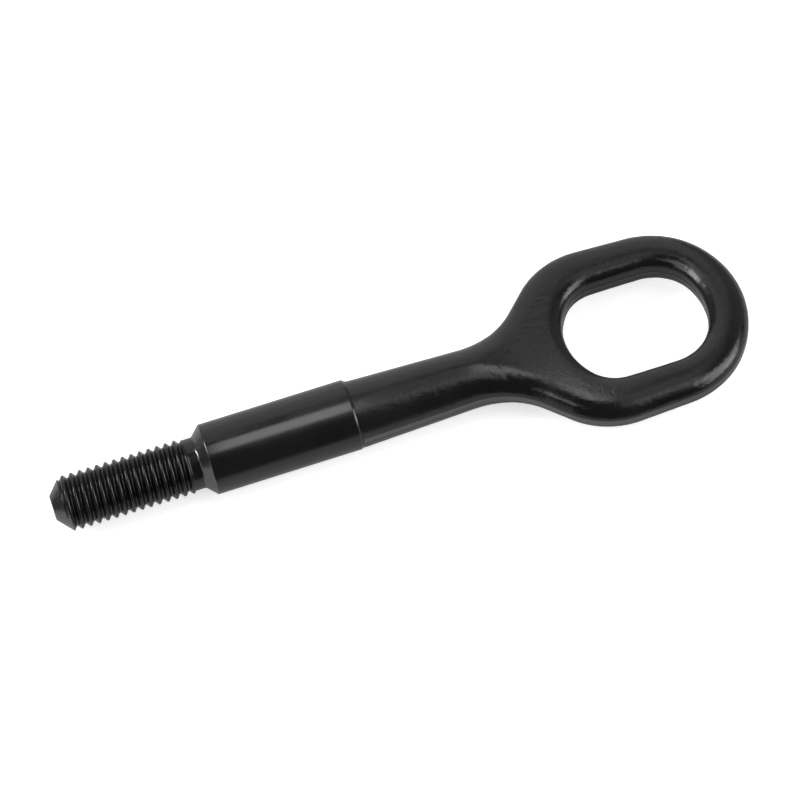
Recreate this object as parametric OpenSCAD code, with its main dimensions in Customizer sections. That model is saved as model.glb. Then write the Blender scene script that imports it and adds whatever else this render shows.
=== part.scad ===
// Screw-in tow eye: one steel forging with a turned guide collar and a rolled
// left-hand thread. The row lies flat: X runs from the thread tip to the eye,
// Y is across the eye, Z is square to the eye's plane. The origin is on the
// collar's axis, at the collar's front edge where the cone meets it.

/* [Thread] */
// nominal (crest) diameter of the thread, mm
thread_d = 16; // [15:0.1:16.8]
// distance between neighbouring crests, mm
thread_pitch = 2.5; // [1.5:0.25:3]
// depth of the thread from crest to root, mm
thread_depth = 1.1; // [0.8:0.05:1.4]
// hand of the thread: -1 is left hand, 1 is right hand
thread_hand = -1; // [-1:2:1]
// angle at which a crest crosses x = tip + two pitches, degrees from +Y towards +Z
thread_phase = 48; // [10:1:90]
// distance from the thread's tip to the collar's front edge, mm
tip_reach = 45.3; // [40:0.1:60]
// diameter of the flat end of the thread, mm
tip_flat_d = 7; // [4:0.5:10]
// angle between the tip's chamfer and the axis, degrees
tip_angle = 48; // [30:1:60]

/* [Neck and cone] */
// diameter of the plain neck between thread and cone, mm
neck_d = 14.8; // [14.2:0.1:15.4]
// length from the end of the thread to the collar's front edge, mm
neck_reach = 5.2; // [5:0.1:9]
// angle between the seating cone and the axis, degrees
cone_angle = 45; // [35:1:55]
// radius of the hollow between neck and cone, mm
neck_fillet = 1.0; // [0.3:0.1:1.5]

/* [Guide collar] */
// diameter of the turned guide collar, mm
collar_d = 20.4; // [20:0.1:24]
// length of the collar's full-diameter wall, mm
collar_len = 42.0; // [35:0.1:48]
// length of the bevel on the collar's rear edge, mm
bevel_len = 0.5; // [0.3:0.1:0.7]
// depth of the bevel on the collar's rear edge, mm
bevel_depth = 0.3; // [0.2:0.05:0.35]

/* [Forged shank] */
// diameter of the forged shank beside the collar, mm
shank_d1 = 19.2; // [18.4:0.1:19.4]
// diameter of the shank at its waist, mm
shank_d2 = 17.0; // [15:0.1:18]
// distance from the collar's front edge to the waist, mm
waist_x = 75.8; // [70:0.1:80]
// sideways offset of the forging from the turned axis, mm
forge_shift = -0.35; // [-0.4:0.05:0.4]
// radius of the hollow where the shank meets the collar, mm
step_fillet = 1.5; // [0.4:0.1:1.6]

/* [Eye outline] */
// radius of the hollow flank between shank and eye, mm
flank_r = 24.3; // [18:0.1:27]
// angle between the flank and the axis, degrees
flank_angle = 46.9; // [42:0.1:50]
// distance at which the flank is 17.41 mm from the axis, mm
flank_x = 94.95; // [93:0.05:97]
// radius of the shoulder between flank and side, mm
shoulder_r = 24.0; // [18:0.1:25]
// half the width of the eye at its middle, mm
eye_half_w = 29.2; // [28:0.1:30]
// angle by which each side of the eye closes in towards its far end, degrees
side_taper = 2.9; // [2:0.1:4]
// radius of the eye's far end, mm
end_r = 30.8; // [30:0.1:32]
// radius that joins the side to the far end, mm
end_corner_r = 25.6; // [18:0.1:26]
// distance from the collar's front edge to the far end, mm
eye_end_x = 158.2; // [157:0.1:160]

/* [Eye hole] */
// half the width of the hole at the parting plane, mm
hole_half_w = 16.8; // [15.8:0.1:17.6]
// distance from the collar's front edge to the near end of the hole, mm
hole_x1 = 105.7; // [104.5:0.1:107]
// distance from the collar's front edge to the far end of the hole, mm
hole_x2 = 146.7; // [145.5:0.1:147.2]
// radius of the hole's near end, mm
hole_r1 = 20.5; // [19:0.5:26]
// radius of the hole's far end, mm
hole_r2 = 22.5; // [20:0.5:26]
// radius of the hole's near corners, mm
hole_c1 = 11.1; // [8:0.1:11.5]
// radius of the hole's far corners, mm
hole_c2 = 13.4; // [9:0.1:14]

/* [Eye section] */
// thickness of the eye, mm
eye_t = 10.4; // [9:0.1:12]
// width of the rounded outer side of the section, mm
outer_round = 6.6; // [5.5:0.1:7]
// fullness of the outer round: 2 is an ellipse, higher is squarer
outer_full = 2.35; // [2:0.05:3]
// width of the rounded edge of the hole, mm
inner_round = 5.5; // [4:0.1:5.8]
// fullness of the hole's rounded edge: 2 is an ellipse, higher is squarer
inner_full = 2.5; // [2:0.05:3]
// height of the base of the hole's rounded edge, as a share of the half thickness
wall_share = 0.24; // [0.15:0.01:0.4]
// how far the hole's short steep wall leans back from the parting plane, mm
hole_draft = 0.1; // [0.05:0.05:0.3]
// half the height of the trimmed band on the parting plane, mm
land = 0.3; // [0.2:0.05:0.4]
// how far the trimmed band stands out, mm
lip = 0.1; // [0.05:0.01:0.15]

/* [Hidden] */

collar_r = collar_d / 2;
neck_r = neck_d / 2;
cone_len = (collar_r - neck_r) / tan(cone_angle);
blend_x1 = waist_x - 2.2;          // where the round shank starts to flatten
blend_x2 = waist_x + 20.7;         // where the palm has the eye's thickness
cut_x = 86;                        // where the shank's mesh meets the eye's
eye_cx = 125.5;                    // centre from which the eye's stations fan out
wall_x = collar_len + bevel_len;   // plane of the collar's rear face

function dir(a) = [cos(a), sin(a)];
function clamp01(u) = min(max(u, 0), 1);
function ease(u) = let (c = clamp01(u)) c * c * (3 - 2 * c);
function cross2(a, b) = a[0] * b[1] - a[1] * b[0];
// where the line through p along a meets the line through q along b
function meet(p, a, q, b) = p + a * (cross2(q - p, b) / cross2(a, b));
function arc(c, r, a0, a1, n) = [for (i = [0:n]) c + r * dir(a0 + (a1 - a0) * i / n)];
function angle_of(v) = atan2(v[1], v[0]);
function lerp(a, b, t) = a + (b - a) * t;
// centre of a corner of radius k between a line (through p, direction d, outward
// normal m) and an end arc of radius r about [c, 0]; s picks the end
function corner(p, d, m, s, c, r, k) =
    let (b0 = p - k * m - [c, 0], b = b0 * d)
    p - k * m + d * (-b + s * sqrt(max(b * b - b0 * b0 + (r - k) * (r - k), 0)));

// ---- outline of the forging at the parting plane, upper half, shank to far end
shank_slope = atan2((shank_d2 - shank_d1) / 2, waist_x - wall_x);
d1 = dir(shank_slope);
p1 = [waist_x, shank_d2 / 2 + lip];
d2 = dir(flank_angle);
p2 = [flank_x, 17.41 + lip];
d3 = dir(-side_taper);
m3 = dir(90 - side_taper);
p3 = [eye_cx, eye_half_w];
i12 = meet(p1, d1, p2, d2);
i23 = meet(p2, d2, p3, d3);
run1 = flank_r * tan((flank_angle - shank_slope) / 2);
run2 = shoulder_r * tan((flank_angle + side_taper) / 2);
c1 = i12 - run1 * d1 + flank_r * dir(90 + shank_slope);
c2 = i23 + run2 * d3 - shoulder_r * m3;
end_c = eye_end_x - end_r;
c3 = corner(p3, d3, m3, 1, end_c, end_r, end_corner_r);
a3 = angle_of(c3 - [end_c, 0]);
OUT = concat(
    [for (i = [0:11]) lerp([wall_x, p1[1] + (p1[0] - wall_x) * -tan(shank_slope)], i12 - run1 * d1, i / 12)],
    arc(c1, flank_r, shank_slope - 90, flank_angle - 90, 14),
    arc(c2, shoulder_r, flank_angle + 90, 90 - side_taper, 14),
    arc(c3, end_corner_r, 90 - side_taper, a3, 14),
    [for (i = [1:24]) [end_c, 0] + end_r * dir(a3 * (1 - i / 24))]);
NO = len(OUT);

// ---- outline of the hole at the parting plane, upper half, far end to near end
h_c2 = hole_x2 - hole_r2;
h_c1 = hole_x1 + hole_r1;
hk2 = corner([eye_cx, hole_half_w], [1, 0], [0, 1], 1, h_c2, hole_r2, hole_c2);
hk1 = corner([eye_cx, hole_half_w], [1, 0], [0, 1], -1, h_c1, hole_r1, hole_c1);
ah2 = angle_of(hk2 - [h_c2, 0]);
ah1 = angle_of(hk1 - [h_c1, 0]);
HOLE = concat(
    arc([h_c2, 0], hole_r2, 0, ah2, 12),
    [for (i = [1:8]) hk2 + hole_c2 * dir(ah2 + (90 - ah2) * i / 8)],
    [for (i = [1:4]) [lerp(hk2[0], hk1[0], i / 4), hole_half_w]],
    [for (i = [1:8]) hk1 + hole_c1 * dir(90 + (ah1 - 90) * i / 8)],
    [for (i = [1:12]) [h_c1, 0] + hole_r1 * dir(lerp(ah1, 180, i / 12))]);
NH = len(HOLE);
// distance from the eye's centre to the hole's outline at angle a
function hole_r(a) =
    let (u = dir(abs(a)),
         hit = [for (i = [0:NH - 2])
                let (q = HOLE[i] - [eye_cx, 0], e = HOLE[i + 1] - HOLE[i],
                     w = cross2(u, e), t = cross2(q, e) / w, k = cross2(q, u) / w)
                if (t > 0 && k >= -1e-6 && k <= 1 + 1e-6) t])
    hit[0];
// distance from point p (y at or above 0) to the outer outline
function seg_d(p, a, b) =
    let (e = b - a, k = clamp01((p - a) * e / (e * e))) norm(p - a - e * k);
function edge_d(p) = min([for (i = [0:NO - 2]) seg_d(p, OUT[i], OUT[i + 1])]);
// half width of the shank at x, for x up to the cut
function half_w(x) =
    x <= (i12 - run1 * d1)[0] ? p1[1] - (x - p1[0]) * -tan(shank_slope)
    : c1[1] - sqrt(max(flank_r * flank_r - (x - c1[0]) * (x - c1[0]), 0));

// ---- height of the forging's surface above the parting plane
function taper_r(x) = p1[1] - lip + (x - p1[0]) * tan(shank_slope);
function full_arc(u, p) = pow(max(1 - pow(clamp01(u), p), 0), 1 / p);
// at x, and d inwards from the outer outline
function top_z(x, d) =
    let (w = half_w(min(x, cut_x)) - lip, m = ease((x - blend_x1) / (blend_x2 - blend_x1)),
         tz = lerp(taper_r(min(x, blend_x2)), eye_t / 2, m), ro = lerp(w, min(outer_round, w), m))
    max(land, tz * full_arc(1 - (d - lip) / ro, lerp(2, outer_full, m)));
// on the hole's rounded edge, at distance s outwards from its foot
function inner_z(s) = let (e = eye_t / 2)
    e * (wall_share + (1 - wall_share) * full_arc((inner_round - s) / (inner_round + 0.1), inner_full));

// ---- mesh of the forging
K = 18;                                    // steps across the shank
NR = 48;                                   // steps round the eye's outline
PH = half_w(cut_x);
ring_src = [for (p = OUT) if (p[0] > cut_x + 1.2) p];
ring_half = concat([[cut_x, PH]], ring_src);
function run_len(v, i = 0, s = 0) = i >= len(v) - 1 ? [s] : concat([s], run_len(v, i + 1, s + norm(v[i + 1] - v[i])));
ring_s = run_len(ring_half);
ring_total = ring_s[len(ring_s) - 1];
function along(s, i = 0) = i >= len(ring_s) - 2 || s <= ring_s[i + 1]
    ? lerp(ring_half[i], ring_half[i + 1], (s - ring_s[i]) / (ring_s[i + 1] - ring_s[i]))
    : along(s, i + 1);
NQ = NR / 2;
quarter = [for (j = [1:NQ]) along(ring_total * j / NQ)];
// stations: across the cut from +Y to -Y, then round the eye from -Y back to +Y
ST = concat(
    [for (i = [0:K]) [cut_x, PH * cos(180 * i / K)]],
    [for (j = [0:NQ - 1]) [quarter[j][0], -quarter[j][1]]],
    [for (j = [NQ - 2:-1:0]) quarter[j]]);
NS = len(ST);
// levels: distances from the hole's edge, then fractions to the outer edge
LV = concat([0], [for (f = [0, 0.03, 0.08, 0.16, 0.28, 0.44, 0.66, 1]) hole_draft + inner_round * f]);
FR = [for (i = [1:8]) sin(90 * i / 8)];
NL = len(LV) - 1;
NV = NL + len(FR) + 2;
function station(i) =
    let (b = ST[i], v = b - [eye_cx, 0], a = angle_of(v), u = v / norm(v),
         h = [eye_cx, 0] + u * hole_r(a), L = norm(b - h), l0 = LV[NL], cut = i <= K)
    concat(
        [for (k = [0:NL]) let (p = h + u * LV[k]) [p[0], p[1], k == 0 ? land
            : min(inner_z(LV[k] - hole_draft), top_z(p[0], edge_d([p[0], abs(p[1])])))]],
        [for (f = FR) let (s = f >= 0.9999 ? (cut ? L - 0.02 : L - lip) : l0 + (L - l0 - lip) * f, p = h + u * s)
            [p[0], p[1], f >= 0.9999 && !cut ? land : top_z(p[0], edge_d([p[0], abs(p[1])]))]],
        [[b[0], b[1], cut ? top_z(b[0], edge_d([b[0], abs(b[1])])) : land]]);
EYE = [for (i = [0:NS - 1]) station(i)];
// sections of the shank; the first four sit inside the collar or on its rear face
SX = [wall_x - 3, wall_x - 0.3, wall_x + 0.15, wall_x + 0.35 * step_fillet, wall_x + 0.65 * step_fillet,
      wall_x + 1.1 * step_fillet, 50, 58, 66, 73, 78, 82.3];
NX = len(SX);
function flare(x) = let (u = clamp01((x - wall_x) / step_fillet)) 1 - sqrt(max(1 - (1 - u) * (1 - u), 0));
function sec_w(m) = m == 0 ? collar_r - 2 : let (x = SX[m], w = half_w(max(x, wall_x)))
    x > wall_x + step_fillet ? w : lerp(w, collar_r - bevel_depth - 0.05, flare(x));
function sec_y(m) = forge_shift * (1 - flare(SX[m]));
function section(m) =
    let (x = SX[m], w = sec_w(m), r = w - lip)
    [for (s = [1, -1]) for (i = [0:K])
        let (c = s * cos(180 * i / K), y = w * c,
             z = m == 0 ? w * sqrt(max(1 - c * c, 0.0004)) : x < blend_x1
                 ? max(land, r * sqrt(max(1 - pow(clamp01((r - w * abs(c)) / r) - 1, 2), 0)))
                 : top_z(x, w - abs(y)))
        [x, y + sec_y(m) - forge_shift, s * z]];
SEC = [for (m = [0:NX - 1]) section(m)];
W = 2 * K + 2;
pts_eye = concat([for (s = EYE) for (p = s) p], [for (s = EYE) for (p = s) [p[0], p[1], -p[2]]]);
pts_shank = [for (s = SEC) for (p = s) p];
function ti(i, v) = (i % NS) * NV + v;
function bi(i, v) = NS * NV + (i % NS) * NV + v;
function si(m, k) = m < NX ? 2 * NS * NV + m * W + (k % W)
    : let (q = k % W) q <= K ? ti(q, NV - 1) : bi(2 * K + 1 - q, NV - 1);
cap_i = 2 * NS * NV + NX * W;
function quad(a, b, c, d) = [[a, b, c], [a, c, d]];
faces = [for (q = concat(
    [for (i = [0:NS - 1]) for (v = [0:NV - 2]) quad(ti(i, v), ti(i + 1, v), ti(i + 1, v + 1), ti(i, v + 1))],
    [for (i = [0:NS - 1]) for (v = [0:NV - 2]) quad(bi(i, v), bi(i, v + 1), bi(i + 1, v + 1), bi(i + 1, v))],
    [for (i = [0:NS - 1]) quad(ti(i, 0), bi(i, 0), bi(i + 1, 0), ti(i + 1, 0))],
    [for (i = [K:NS - 1]) quad(ti(i, NV - 1), ti(i + 1, NV - 1), bi(i + 1, NV - 1), bi(i, NV - 1))],
    [for (m = [0:NX - 1]) for (k = [0:W - 1]) quad(si(m, k), si(m + 1, k), si(m + 1, k + 1), si(m, k + 1))],
    [for (k = [0:W - 1]) [[cap_i, si(0, k), si(0, k + 1)]]])) for (t = q) t];

module forging() {
    translate([0, forge_shift, 0])
        polyhedron(concat(pts_eye, pts_shank, [[SX[0], -forge_shift, 0]]), faces, convexity = 6);
}

// ---- thread: rows run along the helix, four to a pitch, the first on a crest
TM = 26;
crest_w = 0.18 * thread_pitch;
root_w = 0.13 * thread_pitch;
flank_w = (thread_pitch - crest_w - root_w) / 2;
row_off = [0, crest_w, crest_w + flank_w, crest_w + flank_w + root_w];
tip_x = -tip_reach;
// the first row lies on the tip's chamfer
row_x0 = tip_x + thread_pitch - crest_w / 2 - thread_hand * thread_pitch * thread_phase / 360;
fade_x2 = -neck_reach - 0.15;
fade_x1 = fade_x2 - 0.4 * thread_pitch;
TN = ceil((fade_x2 + 0.3 - row_x0) / thread_pitch) + 1;
end_x = row_x0 + (TN + 1) * thread_pitch + 0.5;
function chamfer_r(x) = tip_flat_d / 2 + (x - tip_x) * tan(tip_angle);
function thread_r(x, k) =
    let (r = k < 2 ? thread_d / 2 : thread_d / 2 - thread_depth,
         f = ease((x - fade_x1) / (fade_x2 - fade_x1)))
    min(lerp(r, neck_r - 0.06, f), chamfer_r(x));
function tpt(i, j) =
    let (x = row_x0 + floor(i / 4) * thread_pitch + row_off[i % 4] + thread_hand * thread_pitch * j / TM,
         r = thread_r(x, i % 4), a = 360 * j / TM)
    [x, r * cos(a), r * sin(a)];
TR = 4 * TN + 1;
t_pts = concat(
    [for (j = [0:TM - 1]) for (i = [0:TR - 1]) tpt(i, j)],
    [for (j = [0:TM - 1]) [tip_x, tip_flat_d / 2 * cos(360 * j / TM), tip_flat_d / 2 * sin(360 * j / TM)]],
    [for (j = [0:TM - 1]) [end_x, (neck_r - 0.9) * cos(360 * j / TM), (neck_r - 0.9) * sin(360 * j / TM)]],
    [[tip_x, 0, 0], [end_x, 0, 0]]);
function th(i, j) = j < TM ? j * TR + i : i + 4 * thread_hand;   // seam: one pitch on
e0 = TM * TR;
e1 = e0 + TM;
a0 = e1 + TM;
lo = thread_hand < 0 ? 4 : 0;
hi = thread_hand < 0 ? TR - 2 : TR - 6;
// the last list but two closes the open rows at the seam
t_faces = concat(
    [for (j = [0:TM - 2]) for (i = [0:TR - 2]) for (t = quad(th(i, j), th(i + 1, j), th(i + 1, j + 1), th(i, j + 1))) t],
    [for (i = [lo:hi]) for (t = quad(th(i, TM - 1), th(i + 1, TM - 1), th(i + 1, TM), th(i, TM))) t],
    [for (j = [0:TM - 2]) for (t = quad(e0 + j, th(0, j), th(0, j + 1), e0 + j + 1)) t],
    [for (j = [0:TM - 2]) for (t = quad(th(TR - 1, j), e1 + j, e1 + j + 1, th(TR - 1, j + 1))) t],
    thread_hand < 0
        ? concat([for (i = [0:3]) [e0, th(i, TM - 1), th(i + 1, TM - 1)]],
                 [[e0, th(4, TM - 1), th(0, 0)], [e0, e0 + TM - 1, th(0, TM - 1)]],
                 [for (i = [TR - 5:TR - 2]) [e1 + TM - 1, th(i + 1, 0), th(i, 0)]],
                 [[e1 + TM - 1, th(TR - 5, 0), th(TR - 1, TM - 1)], [e1 + TM - 1, e1, th(TR - 1, 0)]])
        : concat([for (i = [0:3]) [e0 + TM - 1, th(i + 1, 0), th(i, 0)]],
                 [[e0 + TM - 1, th(0, TM - 1), th(4, 0)], [e0 + TM - 1, th(0, 0), e0]],
                 [for (i = [TR - 5:TR - 2]) [e1, th(i, TM - 1), th(i + 1, TM - 1)]],
                 [[e1, th(TR - 5, TM - 1), th(TR - 1, 0)], [e1, th(TR - 1, TM - 1), e1 + TM - 1]]),
    [for (j = [0:TM - 1]) [a0, e0 + j, e0 + (j + 1) % TM]],
    [for (j = [0:TM - 1]) [a0 + 1, e1 + (j + 1) % TM, e1 + j]]);

module thread() {
    polyhedron(t_pts, t_faces, convexity = 10);
}

// ---- turned parts: neck, cone, collar
module turned() {
    nf = neck_fillet * tan(cone_angle / 2);
    rotate([0, 90, 0])
        rotate_extrude($fn = 96)
            polygon(concat(
                [[0, -neck_reach], [neck_r, -neck_reach], [neck_r, -cone_len - nf]],
                [for (i = [1:4]) let (a = cone_angle * i / 4)
                    [neck_r + neck_fillet * (1 - cos(a)), -cone_len - nf + neck_fillet * sin(a)]],
                [[collar_r, 0], [collar_r, collar_len],
                 [collar_r - bevel_depth, wall_x], [0, wall_x]]));
}

module tow_eye() {
    color([0.075, 0.075, 0.08])
        union() {
            turned();
            forging();
            thread();
        }
}

tow_eye();
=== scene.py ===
import math

import bpy
import numpy as np
from mathutils import Matrix, Vector, noise


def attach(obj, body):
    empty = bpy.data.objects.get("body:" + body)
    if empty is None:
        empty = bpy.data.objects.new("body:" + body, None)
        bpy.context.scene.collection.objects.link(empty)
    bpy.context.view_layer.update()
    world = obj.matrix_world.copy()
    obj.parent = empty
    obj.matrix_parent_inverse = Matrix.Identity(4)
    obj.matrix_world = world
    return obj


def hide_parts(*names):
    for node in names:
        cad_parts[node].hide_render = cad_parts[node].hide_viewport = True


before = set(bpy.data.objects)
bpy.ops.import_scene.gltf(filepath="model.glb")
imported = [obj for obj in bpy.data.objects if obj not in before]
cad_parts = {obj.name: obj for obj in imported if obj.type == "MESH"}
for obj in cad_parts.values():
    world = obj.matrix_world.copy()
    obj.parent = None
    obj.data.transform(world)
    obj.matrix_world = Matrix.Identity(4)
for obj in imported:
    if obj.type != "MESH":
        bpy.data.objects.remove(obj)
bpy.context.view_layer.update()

# ---------------------------------------------------------------- dimensions
# The same dimensions as the CAD part, in millimetres and degrees.
THREAD_R, PITCH, HAND, PHASE = 8.0, 2.5, -1, 48.0
TIP, TIP_FLAT_R, TIP_ANGLE, TIP_ROUND = -45.3, 3.5, 48.0, 1.2
THREAD_DEPTH = 1.1
NECK_R, NECK_REACH, CONE_ANGLE, NECK_FILLET = 7.4, 5.2, 45.0, 1.0
COLLAR_R, COLLAR_LEN, BEVEL_LEN, BEVEL_DEPTH = 10.2, 42.0, 0.5, 0.3
SHANK_R1, SHANK_R2, WAIST_X, SHIFT, STEP_FILLET = 9.6, 8.5, 75.8, -0.35, 1.5
FLANK_R, FLANK_ANGLE, FLANK_X = 24.3, 46.9, 94.95
SHOULDER_R, EYE_HALF_W, SIDE_TAPER = 24.0, 29.2, 2.9
END_R, END_CORNER_R, EYE_END = 30.8, 25.6, 158.2
HOLE_HALF_W, HOLE_X1, HOLE_X2, HOLE_R1, HOLE_R2, HOLE_C1, HOLE_C2 = 16.8, 105.7, 146.7, 20.5, 22.5, 11.1, 13.4
EYE_T, OUTER_ROUND, OUTER_FULL, INNER_ROUND, INNER_FULL = 10.4, 6.6, 2.35, 5.5, 2.5
WALL_SHARE, DRAFT, LIP = 0.24, 0.1, 0.1
TRIM = 0.06  # the flash is trimmed off as a flat this deep on the parting plane

WALL = COLLAR_LEN + BEVEL_LEN
BLEND1, BLEND2 = WAIST_X - 2.2, WAIST_X + 20.7
CUT = 86.0
CX = 125.5
HALF_T = EYE_T / 2


def rad(a):
    return math.radians(a)


def vec(a):
    return np.array([math.cos(rad(a)), math.sin(rad(a))])


def ease(u):
    u = np.clip(u, 0.0, 1.0)
    return u * u * (3 - 2 * u)


def cross2(a, b):
    return a[0] * b[1] - a[1] * b[0]


def meet(p, a, q, b):
    return p + a * (cross2(q - p, b) / cross2(a, b))


def arc(c, r, a0, a1, n):
    t = np.radians(np.linspace(a0, a1, n + 1))
    return np.stack([c[0] + r * np.cos(t), c[1] + r * np.sin(t)], -1)


def corner(p, d, m, s, c, r, k):
    b0 = p - k * m - np.array([c, 0.0])
    b = b0 @ d
    return p - k * m + d * (-b + s * math.sqrt(max(b * b - b0 @ b0 + (r - k) ** 2, 0.0)))


# ------------------------------------------------- outline of the forging
slope = math.degrees(math.atan2(SHANK_R2 - SHANK_R1, WAIST_X - WALL))
D1, P1 = vec(slope), np.array([WAIST_X, SHANK_R2 + LIP])
D2, P2 = vec(FLANK_ANGLE), np.array([FLANK_X, 17.41 + LIP])
D3, M3, P3 = vec(-SIDE_TAPER), vec(90 - SIDE_TAPER), np.array([CX, EYE_HALF_W])
I12, I23 = meet(P1, D1, P2, D2), meet(P2, D2, P3, D3)
RUN1 = FLANK_R * math.tan(rad((FLANK_ANGLE - slope) / 2))
RUN2 = SHOULDER_R * math.tan(rad((FLANK_ANGLE + SIDE_TAPER) / 2))
C1 = I12 - RUN1 * D1 + FLANK_R * vec(90 + slope)
C2 = I23 + RUN2 * D3 - SHOULDER_R * M3
END_C = EYE_END - END_R
C3 = corner(P3, D3, M3, 1, END_C, END_R, END_CORNER_R)
A3 = math.degrees(math.atan2(C3[1], C3[0] - END_C))
FLANK_START = (I12 - RUN1 * D1)[0]


def line(a, b, n):
    t = np.linspace(0, 1, n + 1)[:, None]
    return a + (b - a) * t


OUT = np.concatenate(
    [
        line(np.array([WALL, P1[1] - (P1[0] - WALL) * math.tan(rad(slope))]), I12 - RUN1 * D1, 30),
        arc(C1, FLANK_R, slope - 90, FLANK_ANGLE - 90, 300)[1:],
        line(C1 + FLANK_R * vec(FLANK_ANGLE - 90), C2 + SHOULDER_R * vec(FLANK_ANGLE + 90), 12)[1:],
        arc(C2, SHOULDER_R, FLANK_ANGLE + 90, 90 - SIDE_TAPER, 300)[1:],
        line(C2 + SHOULDER_R * M3, C3 + END_CORNER_R * M3, 20)[1:],
        arc(C3, END_CORNER_R, 90 - SIDE_TAPER, A3, 300)[1:],
        arc(np.array([END_C, 0.0]), END_R, A3, 0, 200)[1:],
    ]
)

H2, H1 = HOLE_X2 - HOLE_R2, HOLE_X1 + HOLE_R1
K2 = corner(np.array([CX, HOLE_HALF_W]), np.array([1.0, 0]), np.array([0, 1.0]), 1, H2, HOLE_R2, HOLE_C2)
K1 = corner(np.array([CX, HOLE_HALF_W]), np.array([1.0, 0]), np.array([0, 1.0]), -1, H1, HOLE_R1, HOLE_C1)
AH2 = math.degrees(math.atan2(K2[1], K2[0] - H2))
AH1 = math.degrees(math.atan2(K1[1], K1[0] - H1))
HOLE = np.concatenate(
    [
        arc(np.array([H2, 0.0]), HOLE_R2, 0, AH2, 60),
        arc(K2, HOLE_C2, AH2, 90, 60)[1:],
        line(np.array([K2[0], HOLE_HALF_W]), np.array([K1[0], HOLE_HALF_W]), 80)[1:],
        arc(K1, HOLE_C1, 90, AH1, 60)[1:],
        arc(np.array([H1, 0.0]), HOLE_R1, AH1, 180, 60)[1:],
    ]
)
HOLE_A = np.arctan2(HOLE[:, 1], HOLE[:, 0] - CX)
HOLE_D = np.hypot(HOLE[:, 0] - CX, HOLE[:, 1])


def hole_r(a):
    return np.interp(np.abs(a), HOLE_A, HOLE_D)


def edge_d(x, y):
    """Distance from points to the outer outline."""
    p = np.stack([x, np.abs(y)], -1)
    a, e = OUT[:-1], OUT[1:] - OUT[:-1]
    q = p[:, None, :] - a[None]
    k = np.clip((q * e).sum(-1) / (e * e).sum(-1), 0, 1)
    return np.sqrt(((q - e * k[..., None]) ** 2).sum(-1).min(1))


def half_w(x):
    x = np.asarray(x, float)
    straight = P1[1] + (x - P1[0]) * math.tan(rad(slope))
    curved = C1[1] - np.sqrt(np.maximum(FLANK_R**2 - (x - C1[0]) ** 2, 0))
    return np.where(x <= FLANK_START, straight, curved)


def taper_r(x):
    return P1[1] + (x - P1[0]) * math.tan(rad(slope)) - LIP


def full_arc(u, p):
    return np.maximum(1 - np.clip(u, 0, 1) ** p, 0) ** (1 / p)


def top_z(x, d):
    """Height of the forging above the parting plane at distance d from its outline."""
    x = np.asarray(x, float)
    m = ease((x - BLEND1) / (BLEND2 - BLEND1))
    tz = taper_r(np.minimum(x, BLEND2)) * (1 - m) + HALF_T * m
    w = half_w(np.minimum(x, CUT)) + TRIM
    ro = w * (1 - m) + np.minimum(OUTER_ROUND + LIP + TRIM, w) * m
    return tz * full_arc(1 - (d + TRIM) / ro, 2 * (1 - m) + OUTER_FULL * m)


def inner_z(s):
    """Height of the hole's rounded edge at distance s outwards from its foot."""
    return HALF_T * (WALL_SHARE + (1 - WALL_SHARE) * full_arc((INNER_ROUND - s) / (INNER_ROUND + 0.1), INNER_FULL))


# ------------------------------------------------- mesh of the forging
K = 52  # steps across the shank
NR = 320  # steps round the eye
# the trimmed flat at the parting plane, as (distance from the outline, height)
BAND = [(0.0, 0.0), (0.0, 0.45), (0.0, 0.8), (0.004, 0.95)]
E_D = 0.05

ring_src = OUT[OUT[:, 0] > CUT + 0.2]
PH = float(half_w(CUT))
ring_half = np.concatenate([[[CUT, PH]], ring_src])
run = np.concatenate([[0], np.cumsum(np.hypot(*np.diff(ring_half, axis=0).T))])
NQ = NR // 2
s_at = run[-1] * np.arange(1, NQ + 1) / NQ
quarter = np.stack([np.interp(s_at, run, ring_half[:, 0]), np.interp(s_at, run, ring_half[:, 1])], -1)
quarter[-1] = [EYE_END, 0.0]
cut_pts = np.stack([np.full(K + 1, CUT), (PH - E_D) * np.cos(np.pi * np.arange(K + 1) / K)], -1)
cut_pts[0, 1], cut_pts[K, 1] = PH, -PH
ST = np.concatenate([cut_pts, quarter[:-1] * [1, -1], [quarter[-1]], quarter[:-1][::-1]])
NS = len(ST)


def outline_normal(b):
    """Outward normal of the outer outline at its points b."""
    p = np.stack([b[:, 0], np.abs(b[:, 1])], -1)
    tang = np.gradient(OUT, axis=0)
    tang /= np.linalg.norm(tang, axis=1)[:, None]
    i = ((p[:, None] - OUT[None]) ** 2).sum(-1).argmin(1)
    j = np.clip(i + np.where(((p - OUT[i]) * tang[i]).sum(-1) > 0, 1, -1), 0, len(OUT) - 1)
    span = np.linalg.norm(OUT[j] - OUT[i], axis=1) + 1e-9
    w = np.clip(np.linalg.norm(p - OUT[i], axis=1) / span, 0, 1)[:, None]
    t = tang[i] * (1 - w) + tang[j] * w
    n = np.stack([-t[:, 1], t[:, 0]], -1)
    n[:, 1] *= np.where(b[:, 1] < 0, -1, 1)
    return n / np.linalg.norm(n, axis=1)[:, None]


NRM = outline_normal(ST)
V = ST - [CX, 0.0]
UU = V / np.linalg.norm(V, axis=1)[:, None]
ANG = np.arctan2(V[:, 1], V[:, 0])
HP = np.array([CX, 0.0]) + UU * hole_r(ANG)[:, None]
is_edge = np.ones(NS, bool)
is_edge[1:K] = False

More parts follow.
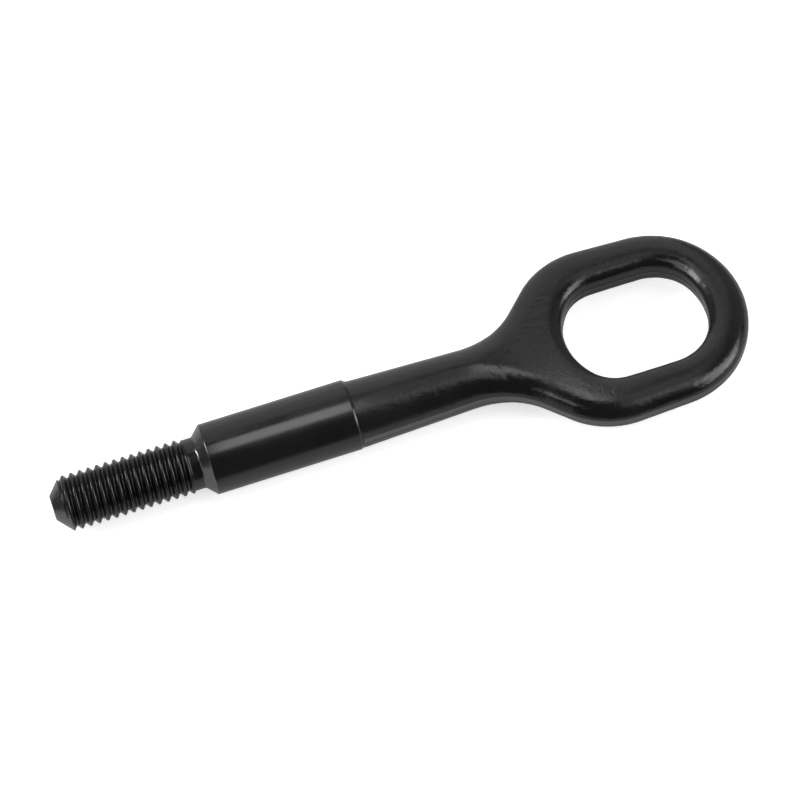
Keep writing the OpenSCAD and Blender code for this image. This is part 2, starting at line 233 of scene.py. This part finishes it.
# wall of the hole and its rounded edge, as (distance outwards, height)
INNER = [(-0.05, 0.0), (-0.045, 0.12), (-0.02, 0.2), (0.01, 0.28)]
z_wall = float(inner_z(0.0))
for f in (0.25, 0.5, 0.75, 1.0):
    INNER.append((0.01 + (DRAFT - 0.01) * f, 0.28 + (z_wall - 0.28) * f))
for f in (0.012, 0.035, 0.065, 0.105, 0.15, 0.205, 0.27, 0.345, 0.43, 0.53, 0.64, 0.76, 0.88, 1.0):
    INNER.append((DRAFT + INNER_ROUND * f, float(inner_z(INNER_ROUND * f))))
NF = 22
levels = []  # each is an array of NS points
for dist, height in INNER:
    p = HP + UU * dist
    z = np.minimum(top_z(p[:, 0], edge_d(p[:, 0], p[:, 1])), height)
    levels.append(np.column_stack([p, z]))
start = levels[-1][:, :2]
end = np.where(is_edge[:, None], ST - NRM * E_D, ST)
for i in range(1, NF + 1):
    f = math.sin(math.pi / 2 * i / NF)
    p = start + (end - start) * f
    z = top_z(p[:, 0], edge_d(p[:, 0], p[:, 1]))
    levels.append(np.column_stack([p, z]))
EL = len(levels) - 1
for d, z in BAND[::-1]:
    levels.append(np.column_stack([ST - NRM * d, np.full(NS, z)]))
NL = len(levels)
LVL = np.stack(levels, 1)  # NS x NL x 3

verts, faces = [], []


def add(points):
    first = len(verts)
    verts.extend(np.asarray(points, float).tolist())
    return np.arange(first, first + len(points))


def quad(a, b, c, d):
    faces.append((int(a), int(b), int(c), int(d)))


top = np.full((NS, NL), -1)
bot = np.full((NS, NL), -1)
for i in range(NS):
    n = NL if is_edge[i] else EL + 1
    top[i, :n] = add(LVL[i, :n])
    m = LVL[i, :n] * [1, 1, -1]
    bot[i, :n] = add(m)
    bot[i, 0] = top[i, 0]
    if is_edge[i]:
        bot[i, NL - 1] = top[i, NL - 1]
for i in range(NS):
    j = (i + 1) % NS
    n = EL if i < K else NL - 1
    for v in range(n):
        quad(top[i, v], top[j, v], top[j, v + 1], top[i, v + 1])
        quad(bot[i, v], bot[i, v + 1], bot[j, v + 1], bot[j, v])

# the loop where the shank meets the eye: from +Y over the top to -Y and back below
half_top = list(top[0, EL:][::-1]) + list(top[1:K, EL]) + list(top[K, EL:])
half_bot = list(bot[K, EL : NL - 1][::-1]) + list(bot[1:K, EL][::-1]) + list(bot[0, EL : NL - 1])
cut_loop = np.array(half_top + half_bot)
M = len(cut_loop)


def section(x, w, shift, ph=0.0):
    """Points of a shank section, in the order of cut_loop. w is its half width at the trimmed flat."""
    pts = []
    band = [(w - d, z) for d, z in BAND] + [(w - E_D, float(top_z(x, E_D)))]
    inner = [math.pi * i / K for i in range(1, K)]
    for y, z in band:
        pts.append((y, z))
    for t in inner:
        y = (w - E_D) * math.cos(t)
        pts.append((y, float(top_z(x, w - abs(y)))))
    for y, z in band[::-1]:
        pts.append((-y, z))
    pts += [(-y, -z) for y, z in pts[1 : len(pts) - 1]]
    return np.array([(x, y + shift, z) for y, z in pts])


def flare(x):
    u = min(max((x - WALL) / STEP_FILLET, 0), 1)
    return 1 - math.sqrt(max(1 - (1 - u) ** 2, 0))


sections = []
f_top = COLLAR_R - BEVEL_DEPTH - 0.06
xs_flare = [WALL + STEP_FILLET * (1 - math.cos(rad(a))) for a in (0, 15, 30, 45, 60, 75, 90)]
for x in xs_flare:
    w = float(half_w(x))
    f = flare(x)
    ww = w * (1 - f) + f_top * f
    s = section(x, ww, SHIFT * (1 - f))
    if f > 0:  # the flat fades out on the hollow
        ang = np.arctan2(s[:, 2], s[:, 1] - SHIFT * (1 - f))
        round_ = np.column_stack(
            [np.full(M, x), (ww + TRIM * (1 - f)) * np.cos(ang) + SHIFT * (1 - f), (ww + TRIM * (1 - f)) * np.sin(ang)]
        )
        s = s * (1 - f) + round_ * f
    sections.append(s)
for x in np.linspace(WALL + STEP_FILLET, CUT, 46)[1:-1]:
    sections.append(section(float(x), float(half_w(x)), SHIFT))
for s in sections:
    s[:, 0] = s[0, 0]
COL_A = np.unwrap(np.arctan2(sections[0][:, 2], sections[0][:, 1]))  # angle of each column, from +Y towards +Z
COL_A -= 2 * math.pi * round(COL_A[0] / (2 * math.pi))

for i in range(len(verts)):  # the eye is forged a little to one side of the turned axis
    verts[i][1] += SHIFT


# ------------------------------------------------- turned profile, tip to rear face
def fillet(pts, radii, n=4):
    """Polyline with rounded corners."""
    out = [np.array(pts[0], float)]
    for i in range(1, len(pts) - 1):
        a, b, c = (np.array(pts[k], float) for k in (i - 1, i, i + 1))
        r = radii[i]
        u, v = (a - b) / np.linalg.norm(a - b), (c - b) / np.linalg.norm(c - b)
        half = math.acos(np.clip(u @ v, -1, 1)) / 2
        if r <= 0 or half > math.pi / 2 - 1e-3:
            out.append(b)
            continue
        cut = r / math.tan(half)
        mid = b + (u + v) / np.linalg.norm(u + v) * (r / math.sin(half))
        s, e = b + u * cut, b + v * cut
        a0 = math.atan2(*(s - mid)[::-1])
        a1 = math.atan2(*(e - mid)[::-1])
        da = (a1 - a0 + math.pi) % (2 * math.pi) - math.pi
        for t in np.linspace(0, 1, n + 1):
            out.append(mid + r * np.array([math.cos(a0 + da * t), math.sin(a0 + da * t)]))
    out.append(np.array(pts[-1], float))
    return np.array(out)


CREST_W, ROOT_W = PITCH * 0.18, PITCH * 0.13
FL_W = (PITCH - CREST_W - ROOT_W) / 2
rr = THREAD_R - THREAD_DEPTH
prof = [(-PITCH / 2, rr), (-CREST_W / 2 - FL_W, rr), (-CREST_W / 2, THREAD_R), (CREST_W / 2, THREAD_R)]
prof += [(CREST_W / 2 + FL_W, rr), (PITCH / 2, rr)]
prof = fillet(prof, [0, 0.25, 0.4, 0.4, 0.25, 0], 3)
PU, PR = prof[:, 0], prof[:, 1]
keep = [0]
for i in range(1, len(PU)):
    if PU[i] - PU[keep[-1]] > 0.008:
        keep.append(i)
PU, PR = PU[keep], PR[keep]
# rows of one pitch: the profile's own points and two more on each flank
rows_u = sorted(set(np.round(np.concatenate([PU[:-1], [-0.75, -0.5, 0.5, 0.75]]), 4)))
NP = len(rows_u)
fade2 = -NECK_REACH - 0.15
fade1 = fade2 - 0.4 * PITCH
X_CREST = TIP + 2 * PITCH  # a crest crosses this x at the angle PHASE


def crest_x(a):
    return X_CREST + HAND * PITCH * (math.degrees(a) - PHASE) / 360


def chamfer_r(x):
    return TIP_FLAT_R + (x - TIP) * math.tan(rad(TIP_ANGLE))


def raw_r(x, a):
    """The thread's radius before the chamfer."""
    u = (x - crest_x(a) + PITCH / 2) % PITCH - PITCH / 2
    r = np.interp(u, PU, PR)
    f = ease((x - fade1) / (fade2 - fade1))
    return r * (1 - f) + NECK_R * f


S0 = TIP - 0.02
row0 = math.floor((S0 - crest_x(COL_A[0])) / PITCH) - 1
base = []
k = row0
while True:
    for u in rows_u:
        s = crest_x(0.0) + k * PITCH + u
        base.append(s)
    k += 1
    if crest_x(0.0) + k * PITCH + rows_u[0] > -3.7 - PITCH * 0.0:
        break
base = np.array(base)
# keep rows from the last whose highest end lies on the flat tip, to the first that lies on the neck
first = max(i for i in range(len(base)) if base[i] <= S0)
last = max(i for i in range(len(base)) if base[i] <= -3.55)
base = base[first : last + 1]
R = len(base)
q_tip = (TIP_FLAT_R - 0.6) / (PITCH + 0.3)
turn_ = rad(90 - TIP_ANGLE)
t_r0 = TIP_FLAT_R - TIP_ROUND * math.tan(turn_ / 2)
t_r1 = t_r0 + TIP_ROUND * math.sin(turn_)
grid = np.zeros((M, R), int)
fine = np.linspace(TIP, TIP + 5, 1201)
for j, a in enumerate(COL_A):
    s = base + HAND * PITCH * a / (2 * math.pi)
    # rows are drawn to the places where the chamfer cuts the thread
    g = raw_r(fine, a) - chamfer_r(fine)
    hits = [fine[i] + (fine[i + 1] - fine[i]) * g[i] / (g[i] - g[i + 1]) for i in range(len(fine) - 1) if g[i] * g[i + 1] < 0]
    hits.append(TIP)
    used = set()
    for h in hits:
        i = int(np.abs(s - h).argmin())
        if i not in used and 0 < i < R - 1:
            s[i] = h
            used.add(i)
    r = np.where(s >= TIP, np.minimum(raw_r(s, a), chamfer_r(s)), TIP_FLAT_R + (s - TIP) * q_tip)
    x = np.maximum(s, TIP)
    # the edge between the flat tip and its chamfer is rounded
    x = np.where((r > t_r0) & (r < t_r1) & (x < TIP + 0.6), TIP + TIP_ROUND - np.sqrt(np.maximum(TIP_ROUND**2 - (r - t_r0) ** 2, 0)), x)
    grid[j] = add(np.column_stack([x, r * math.cos(a), r * math.sin(a)]))
for j in range(M - 1):
    for i in range(R - 1):
        quad(grid[j, i], grid[j + 1, i], grid[j + 1, i + 1], grid[j, i + 1])
# the seam: one pitch on
for i in range(R - NP - 1):
    quad(grid[M - 1, i + NP], grid[0, i], grid[0, i + 1], grid[M - 1, i + NP + 1])
# the flat tip
centre = add([[TIP, 0, 0]])[0]
for i in range(NP):
    faces.append((int(grid[M - 1, i]), int(grid[0, 0]), int(grid[M - 1, i + 1])))
for j in range(M):
    faces.append((int(centre), int(grid[(j + 1) % M, 0]), int(grid[j, 0])))
# the end on the neck
for i in range(R - NP - 1, R - 1):
    faces.append((int(grid[M - 1, R - 1]), int(grid[0, i]), int(grid[0, i + 1])))

cone_len = (COLLAR_R - NECK_R) / math.tan(rad(CONE_ANGLE))
nf = NECK_FILLET * math.tan(rad(CONE_ANGLE / 2))
turned = [(-3.5, NECK_R), (-cone_len, NECK_R), (0, COLLAR_R), (COLLAR_LEN, COLLAR_R), (WALL, COLLAR_R - BEVEL_DEPTH)]
turned += [(WALL, f_top + 0.02)]
prof2 = fillet(turned, [0, NECK_FILLET, 0.35, 0.15, 0.03, 0], 6)
extra = []
for a, b in zip(prof2[:-1], prof2[1:]):
    ln = np.linalg.norm(b - a)
    n = max(1, int(round(ln / 2.6)))
    ts = [t / n for t in range(n)]
    if ln > 1.0:  # keeps straight stretches straight in the shading
        ts = sorted(ts + [0.1 / ln, 1 - 0.1 / ln])
    for t in ts:
        extra.append(a + (b - a) * t)
extra.append(prof2[-1])
rings = [grid[:, R - 1]]
for x, r in extra:
    rings.append(add(np.column_stack([np.full(M, x), r * np.cos(COL_A), r * np.sin(COL_A)])))
for s in sections:
    rings.append(add(s))
rings.append(cut_loop)
for a, b in zip(rings[:-1], rings[1:]):
    for j in range(M):
        k = (j + 1) % M
        quad(a[j], a[k], b[k], b[j])

# ------------------------------------------------- one object
mesh = bpy.data.meshes.new("tow_eye_forging")
mesh.from_pydata([tuple(v) for v in verts], [], faces)
eye = bpy.data.objects.new("tow_eye_forging", mesh)
bpy.context.scene.collection.objects.link(eye)
import bmesh

bm = bmesh.new()
bm.from_mesh(mesh)
bmesh.ops.remove_doubles(bm, verts=bm.verts, dist=1e-4)
bmesh.ops.dissolve_degenerate(bm, edges=bm.edges, dist=1e-4)
bmesh.ops.recalc_face_normals(bm, faces=bm.faces)
bm.normal_update()
# the forged skin is not quite even
for v in bm.verts:
    if v.co.x > WALL + 0.9:
        k = min((v.co.x - WALL - 0.9) / 3, 1.0)
        p = v.co
        h = noise.noise(p * 0.42) * 0.5 + noise.noise(p * 0.95 + Vector((7, 3, 1))) * 0.35
        h += noise.noise(p * 1.9 + Vector((1, 9, 4))) * 0.2
        v.co = p + v.normal * (h * 0.05 - 0.02) * k
open_edges = sum(1 for e in bm.edges if len(e.link_faces) != 2)
print("open or doubled edges:", open_edges, "verts", len(bm.verts), "tris", sum(len(f.verts) - 2 for f in bm.faces))
for v in bm.verts:
    v.co *= 0.001
bm.to_mesh(mesh)
bm.free()
mesh.shade_smooth()
mesh.set_sharp_from_angle(angle=rad(36))


# ------------------------------------------------- material
def black_steel(turned_part, name, f0=0.04):
    """f0 is the share of light mirrored straight back: higher where the coat is thin."""
    m = bpy.data.materials.new(name)
    m.use_nodes = True
    t = m.node_tree
    for n in list(t.nodes):
        t.nodes.remove(n)
    N, L = t.nodes.new, t.links.new

    def math_(op, a, b=None):
        n = N("ShaderNodeMath")
        n.operation = op
        for i, v in enumerate((a, b)):
            if v is None:
                continue
            if isinstance(v, (int, float)):
                n.inputs[i].default_value = v
            else:
                L(v, n.inputs[i])
        return n.outputs[0]

    def noise_(scale, detail, rough, vector):
        n = N("ShaderNodeTexNoise")
        n.inputs["Scale"].default_value = scale
        n.inputs["Detail"].default_value = detail
        n.inputs["Roughness"].default_value = rough
        L(vector, n.inputs["Vector"])
        return n.outputs["Fac"]

    def ramp(fac, a, b, lo, hi):
        n = N("ShaderNodeMapRange")
        n.interpolation_type = "SMOOTHSTEP"
        L(fac, n.inputs["Value"])
        for name, v in (("From Min", a), ("From Max", b), ("To Min", lo), ("To Max", hi)):
            n.inputs[name].default_value = v
        return n.outputs["Result"]

    coord = N("ShaderNodeTexCoord").outputs["Object"]
    blotch = noise_(60, 3, 0.55, coord)
    grain = noise_(1500, 3, 0.6, coord)
    bs = N("ShaderNodeBsdfPrincipled")
    bump = N("ShaderNodeBump")
    bump.inputs["Distance"].default_value = 0.00012
    if turned_part:
        # turning marks run round the axis, so light spreads along it
        sep = N("ShaderNodeSeparateXYZ")
        L(coord, sep.inputs[0])
        marks = N("ShaderNodeCombineXYZ")
        L(sep.outputs["X"], marks.inputs[0])
        turn = noise_(9000, 2, 0.6, marks.outputs[0])
        height = math_("ADD", math_("MULTIPLY", turn, 0.05), math_("MULTIPLY", grain, 0.08))
        bump.inputs["Strength"].default_value = 0.5
        rough = ramp(blotch, 0.35, 0.65, TURNED_ROUGH[0], TURNED_ROUGH[1])
        lo, hi = (0.0026, 0.0025, 0.0026, 1), (0.0042, 0.0040, 0.0040, 1)
    else:
        coarse = noise_(620, 2, 0.5, coord)
        fine_ = noise_(4200, 2, 0.6, coord)
        height = math_("ADD", math_("MULTIPLY", grain, 0.75), math_("MULTIPLY", coarse, 0.8))
        height = math_("ADD", height, math_("MULTIPLY", fine_, 0.15))
        bump.inputs["Strength"].default_value = 0.62
        rough = math_("ADD", ramp(blotch, 0.35, 0.65, FORGED_ROUGH[0], FORGED_ROUGH[1]), ramp(grain, 0.35, 0.65, -0.03, 0.05))
        lo, hi = (0.0032, 0.0031, 0.0031, 1), (0.0056, 0.0053, 0.0052, 1)
    L(height, bump.inputs["Height"])
    L(bump.outputs["Normal"], bs.inputs["Normal"])
    L(rough, bs.inputs["Roughness"])
    col = N("ShaderNodeMix")
    col.data_type = "RGBA"
    L(ramp(blotch, 0.35, 0.7, 0.0, 1.0), col.inputs["Factor"])
    col.inputs[6].default_value = lo
    col.inputs[7].default_value = hi
    L(col.outputs[2], bs.inputs["Base Color"])
    bs.inputs["IOR"].default_value = (1 + math.sqrt(f0)) / (1 - math.sqrt(f0))
    bs.inputs["Specular IOR Level"].default_value = 0.5
    out = N("ShaderNodeOutputMaterial")
    L(bs.outputs["BSDF"], out.inputs["Surface"])
    return m


TURNED_ROUGH = (0.17, 0.24)
FORGED_ROUGH = (0.15, 0.21)
SEAT_F0, TRIM_F0 = 0.12, 0.10
FLOOR_ALBEDO, FLOOR_GLOW = 0.80, 0.66
SHEET_ALBEDO, SHEET_GLOW = 0.42, 0.22
mesh.materials.append(black_steel(True, "black_turned_steel"))
mesh.materials.append(black_steel(False, "black_forged_steel"))
mesh.materials.append(black_steel(True, "black_turned_steel_thin_coat", SEAT_F0))
mesh.materials.append(black_steel(False, "black_forged_steel_thin_coat", TRIM_F0))
centres = np.array([poly.center for poly in mesh.polygons]) * 1000
flat = (centres[:, 0] > WALL + 0.5) & (np.abs(centres[:, 2]) < 0.98)
flat[flat] = edge_d(centres[flat, 0], centres[flat, 1] - SHIFT) < 0.12
for poly in mesh.polygons:
    c, n = poly.center * 1000, poly.normal
    if flat[poly.index]:
        poly.material_index = 3
    elif c.x > WALL + 0.02:
        poly.material_index = 1
    elif n.x < -0.3 and (c.x > -4.5 or math.hypot(c.y, c.z) > chamfer_r(c.x) - 0.06):
        poly.material_index = 2
    else:
        poly.material_index = 0
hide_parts("tow_eye")
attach(eye, "root")

# ------------------------------------------------- floor
def plain(name, albedo, glow):
    m = bpy.data.materials.new(name)
    m.use_nodes = True
    b = m.node_tree.nodes["Principled BSDF"]
    b.inputs["Base Color"].default_value = (albedo, albedo, albedo, 1)
    b.inputs["Roughness"].default_value = 0.9
    b.inputs["Specular IOR Level"].default_value = 0.0
    b.inputs["Emission Color"].default_value = (1, 1, 1, 1)
    b.inputs["Emission Strength"].default_value = glow
    return m


def stage_piece(name, build, location, material):
    bm = bmesh.new()
    build(bm)
    data = bpy.data.meshes.new(name)
    bm.to_mesh(data)
    bm.free()
    o = bpy.data.objects.new(name, data)
    o.location = location
    bpy.context.scene.collection.objects.link(o)
    data.materials.append(material)
    return o


FLOOR_Z = -COLLAR_R * 0.001 - 0.00001
floor = stage_piece(
    "floor",
    lambda bm: bmesh.ops.create_circle(bm, cap_ends=True, segments=96, radius=7.0),
    (0.056, 0, FLOOR_Z - 0.00002),
    plain("floor_white", FLOOR_ALBEDO, FLOOR_GLOW),
)
floor.visible_glossy = False
floor.visible_shadow = False


def sheet_shape(bm):
    # the pale sheet that the metal mirrors; it ends a short way in front of the part and left of its tip
    corners = [(-0.9, 1.31), (-0.215, 0.223), (-0.127, 0.083), (-0.092, -0.012), (-0.066, -0.026), (0.0, -0.046)]
    corners += [(0.10, -0.060), (0.2, -0.076), (1.1, -0.076), (1.1, 1.6), (-0.9, 1.6)]
    bm.faces.new([bm.verts.new((x, y, 0)) for x, y in corners])


sheet = stage_piece("floor_sheet", sheet_shape, (0, 0, FLOOR_Z), plain("sheet_white", SHEET_ALBEDO, SHEET_GLOW))
sheet.visible_camera = False
sheet.visible_diffuse = False
sheet.visible_shadow = False


# ------------------------------------------------- light
def softbox(name, az, psi, dist, length, width, radiance, centre=(0.13, 0, 0), spin=0.0):
    """An area light that faces centre. Its centre lies az degrees towards +X from the
    YZ plane and psi degrees from straight up towards -Y. length is along X."""
    data = bpy.data.lights.new(name, "AREA")
    data.shape = "RECTANGLE"
    data.size, data.size_y = length, width
    data.energy = radiance * math.pi * length * width
    o = bpy.data.objects.new(name, data)
    c = math.cos(rad(az))
    z = Vector((math.sin(rad(az)), -c * math.sin(rad(psi)), c * math.cos(rad(psi))))
    o.location = Vector(centre) + z * dist
    xa = (Vector((1, 0, 0)) - z * z.x).normalized()
    ya = z.cross(xa)
    xa, ya = xa * math.cos(rad(spin)) - ya * math.sin(rad(spin)), ya * math.cos(rad(spin)) + xa * math.sin(rad(spin))
    o.rotation_mode = "QUATERNION"
    o.rotation_quaternion = Matrix((xa, ya, z)).transposed().to_quaternion()
    o.visible_camera = False
    bpy.context.scene.collection.objects.link(o)
    return o


softbox("left_softbox", -51, -20, 1.2, 0.84, 0.26, 11.4)
softbox("left_tail", -16, -23, 1.3, 0.52, 0.17, 3.1)
softbox("left_fill", -47, 14, 1.3, 0.40, 0.34, 2.5)
softbox("right_softbox", 47.5, 40, 1.2, 1.25, 0.58, 3.9)
softbox("right_softbox_low", 52.5, 74, 1.2, 0.99, 0.40, 3.8)
softbox("right_softbox_tip", 15, 20, 1.2, 0.22, 0.22, 1.6)
softbox("top_softbox", 11, 6, 1.3, 0.45, 1.45, 0.80)
softbox("back_softbox", 2, -61, 1.5, 1.35, 1.75, 0.79)
softbox("back_left_fill", -48, -68, 1.5, 1.0, 0.9, 0.22)
softbox("back_right_fill", 52, -50, 1.5, 1.4, 1.5, 0.28)
softbox("front_left_fill", -72, 80, 1.3, 0.35, 0.75, 1.0)
softbox("collar_strip", 0, 9, 0.061, 0.046, 0.029, 3.6, centre=(0.0264, 0, 0))
softbox("palm_strip", 0, 0, 0.060, 0.014, 0.037, 2.8, centre=(0.1065, 0.005, 0.005), spin=8)
world = bpy.data.worlds.new("studio")
world.use_nodes = True
world.node_tree.nodes["Background"].inputs[0].default_value = (1, 1, 1, 1)
world.node_tree.nodes["Background"].inputs[1].default_value = 0.085
bpy.context.scene.world = world
bpy.context.scene.view_settings.view_transform = "Standard"
bpy.context.scene.view_settings.look = "None"

# ------------------------------------------------- camera
D = Vector((0.08991, 0.55566, -0.82653)).normalized()
RIGHT = Vector((0.95047, -0.29580, -0.09548))
RIGHT = (RIGHT - D * RIGHT.dot(D)).normalized()
UP = RIGHT.cross(D).normalized()
cam_data = bpy.data.cameras.new("camera")
cam_data.sensor_width = 36.0
cam_data.lens = 3880.70 / 800 * 36.0
cam_data.shift_x = -0.011 / 800
cam_data.shift_y = -0.603 / 800
cam_data.clip_start, cam_data.clip_end = 0.05, 50
cam = bpy.data.objects.new("camera", cam_data)
cam.rotation_mode = "QUATERNION"
cam.rotation_quaternion = Matrix((RIGHT, UP, -D)).transposed().to_quaternion()
cam.location = Vector((0.05644, 0, 0)) - D * 1.0897
bpy.context.scene.collection.objects.link(cam)
bpy.context.scene.camera = cam
